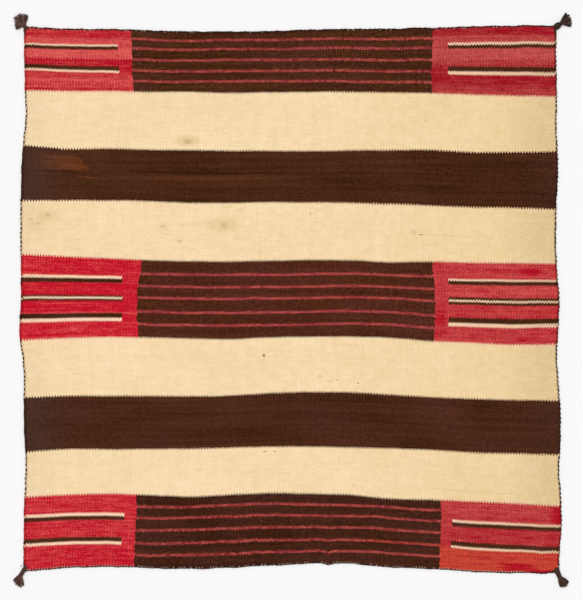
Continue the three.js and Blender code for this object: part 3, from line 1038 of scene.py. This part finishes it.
def lashing(tassel, sign_x, sign_y):
    """Cord ends laid over the cloth's corner on their way to the knot: low arcs from end to side."""
    reach = np.array(tassel["lashing"], float)
    corner_x = edge_at("right" if sign_x > 0 else "left", sign_y * LASHING_CORNER) + sign_x * 3
    corner_y = edge_at("top" if sign_y > 0 else "bottom", sign_x * LASHING_CORNER) + sign_y * 3
    steps = np.linspace(0, 1, 11)
    x = corner_x - sign_x * reach[:, :1] * (1 - steps)
    y = corner_y - sign_y * reach[:, 1:] * steps
    z = np.broadcast_to(1.2 + 3.0 * np.sin(np.pi * steps) ** 0.6, x.shape)
    return yarns(np.stack([x, y, z], -1), LASHING_RADIUS, np.array([0, 0, 1.0]), 6)


def tuft_strands(tassel, chooser):
    """Cut yarn ends of a tassel: curves that leave the knot along it and bend out over the fan.

    Each is a cubic from the knot through two guide points to its tip, and thins out at the tip. The
    strands lie over each other in layers and come down to the floor.
    """
    start, root, along, across = knot_frame(tassel)
    share = (np.arange(STRANDS) + chooser.random(STRANDS)) / STRANDS
    clumps = tassel["clumps"]
    clump = np.minimum((share * clumps).astype(int), clumps - 1)
    clump_length = chooser.uniform(0.93, 1.04, clumps)[clump]
    share = share + ((clump + 0.5) / clumps - share) * tassel["clumped"]
    angle = np.radians(tassel["fan"][0] + (tassel["fan"][1] - tassel["fan"][0]) * share)
    reach = np.interp(share * 4, np.arange(5), tassel["reach"]) * clump_length
    reach = reach * chooser.uniform(0.9, 1.04, STRANDS)
    heading = np.stack([np.cos(angle), np.sin(angle), np.zeros(STRANDS)], -1)
    sideways = np.stack([-heading[:, 1], heading[:, 0], np.zeros(STRANDS)], -1)
    radius = tassel["knot_radius"]
    layer = chooser.random(STRANDS)
    first = root + across * ((share - 0.5) * tassel["spread"] * radius)[:, None] - along * 2
    last = root + heading * reach[:, None]
    bow = chooser.normal(0, 0.09, STRANDS) * reach
    second = first + along * (0.28 * reach)[:, None]
    third = first + (last - first) * 0.66 + sideways * bow[:, None]
    t = np.linspace(0, 1, 9)[:, None]
    weights = [(1 - t) ** 3, 3 * t * (1 - t) ** 2, 3 * t**2 * (1 - t), t**3]
    paths = sum(weight * guide[:, None] for weight, guide in zip(weights, (first, second, third, last)))
    high = radius * KNOT_FLATNESS * (0.5 + layer)
    low = STRAND_RADIUS + 4.5 * layer
    fall = np.linspace(0, 1, 9) ** 0.7
    paths[:, :, 2] = high[:, None] + (low - high)[:, None] * fall
    radii = STRAND_RADIUS * np.array([0.9, 1, 1, 1.05, 1.05, 1, 0.95, 0.85, 0.6])
    return yarns(paths, radii, np.array([0, 0, 1.0]), 5)


def loose_end(bends):
    """A loose yarn end that lies on the floor through its bends."""
    path = np.array([[x, y, 1.2] for x, y in bends])
    return yarns(path[None], LOOSE_RADIUS, np.array([0, 0, 1.0]), 5)


def tassel_piece(corner, tassel, material, chooser):
    """A corner tassel: knot, winding, lashing over the cloth's corner, and the fan of strands."""
    sign_x = 1 if "right" in corner else -1
    sign_y = 1 if "top" in corner else -1
    parts = [
        knot_core(tassel),
        knot_winding(tassel),
        lashing(tassel, sign_x, sign_y),
        tuft_strands(tassel, chooser),
    ]
    strand_tones = np.repeat(chooser.random(STRANDS) ** 2, len(parts[3][0]) // STRANDS)
    if "loose" in tassel:
        parts.insert(0, loose_end(tassel["loose"]))
    points, faces, weave_map = joined(parts)
    tones = np.full(len(points), 0.15)
    tones[-len(strand_tones):] = strand_tones
    tones = tones + tassel["paler"]
    return make_piece(f"{corner}_tuft", points, faces, weave_map, material, tones)


# Looks
cloth_wool = woven_wool()
cord_wool = yarn_wool("cord_wool", CORD_DARK, CORD_LIGHT, 5.0)
tuft_wool = yarn_wool("tassel_wool", TUFT_DARK, TUFT_LIGHT, 3.5)
warp_wool = yarn_wool("warp_wool", WARP_GREY, WARP_PALE, 3.0)

# Pieces
chance_of_hand = np.random.default_rng(7)
cloth = make_piece("woven_cloth", *cloth_surface(), cloth_wool)
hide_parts("cloth")

edging = [
    weft_turns("left", LEFT_TURN, 0.42, cloth_wool, chance_of_hand),
    weft_turns("right", RIGHT_TURN, 0.3, cloth_wool, chance_of_hand),
    end_turns("top", 0.3, cloth_wool, chance_of_hand),
    end_turns("bottom", 0.3, cloth_wool, chance_of_hand),
    warp_loops("top", 0.3, 0.85, warp_wool, chance_of_hand),
    warp_loops("bottom", 0.95, 1.05, warp_wool, chance_of_hand),
]

for side, reach in (("top", 748), ("bottom", 748), ("left", 750), ("right", 750)):
    points, faces, weave_map = cord_plies(side, reach)
    tones = np.full(len(points), 0.25)
    piece = make_piece(f"{side}_plies", points, faces, weave_map, cord_wool, tones)
    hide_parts(f"{side}_end_cord" if side in ("top", "bottom") else f"{side}_side_cord")

for corner, tassel in TASSELS.items():
    piece = tassel_piece(corner, tassel, tuft_wool, chance_of_hand)
    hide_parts(f"{corner}_tassel")

# Floor, light and camera
FLOOR_HALF = 12.0
FLOOR_HEIGHT = -0.0002
floor_mesh = bpy.data.meshes.new("floor")
floor_corners = [(-1, -1), (1, -1), (1, 1), (-1, 1)]
floor_points = [(x * FLOOR_HALF, y * FLOOR_HALF, FLOOR_HEIGHT) for x, y in floor_corners]
floor_mesh.from_pydata(floor_points, [], [(0, 1, 2, 3)])
floor_look = bpy.data.materials.new("floor_paint")
floor_look.use_nodes = True
floor_surface = floor_look.node_tree.nodes["Principled BSDF"]
floor_surface.inputs["Base Color"].default_value = FLOOR_WHITE
floor_surface.inputs["Roughness"].default_value = 0.9
floor_surface.inputs["Specular IOR Level"].default_value = 0.1
floor_mesh.materials.append(floor_look)
floor = bpy.data.objects.new("floor", floor_mesh)
bpy.context.scene.collection.objects.link(floor)

studio = bpy.data.worlds.new("studio")
studio.use_nodes = True
studio.node_tree.nodes["Background"].inputs["Color"].default_value = (1.0, 1.0, 1.0, 1.0)
studio.node_tree.nodes["Background"].inputs["Strength"].default_value = 0.45
bpy.context.scene.world = studio
bpy.context.scene.view_settings.view_transform = "Standard"


def far_softbox(name, towards, strength, spread):
    """A soft light so far away that it falls evenly on the whole cloth, from a direction."""
    lamp = bpy.data.lights.new(name, "SUN")
    lamp.energy = strength
    lamp.angle = spread
    light = bpy.data.objects.new(name, lamp)
    bpy.context.scene.collection.objects.link(light)
    x, y, z = towards
    light.location = towards
    light.rotation_euler = (np.arctan2(np.hypot(x, y), z), 0.0, np.arctan2(x, -y))


far_softbox("key_light", towards=(-0.5, 0.45, 2.6), strength=1.93, spread=0.7)

CAMERA_LENS = 85.0
HALF_VIEW = 0.8412  # half of what the picture shows of the floor, upright
HALF_SENSOR = 18.0
VIEW_MIDDLE = (-0.0017, 0.0005)  # in the frame
CAMERA_DISTANCE = HALF_VIEW * CAMERA_LENS / HALF_SENSOR
camera_data = bpy.data.cameras.new("camera")
camera_data.lens = CAMERA_LENS
camera_data.clip_end = 100.0
camera = bpy.data.objects.new("camera", camera_data)
camera.location = (*VIEW_MIDDLE, CAMERA_DISTANCE)
bpy.context.scene.collection.objects.link(camera)
bpy.context.scene.camera = camera
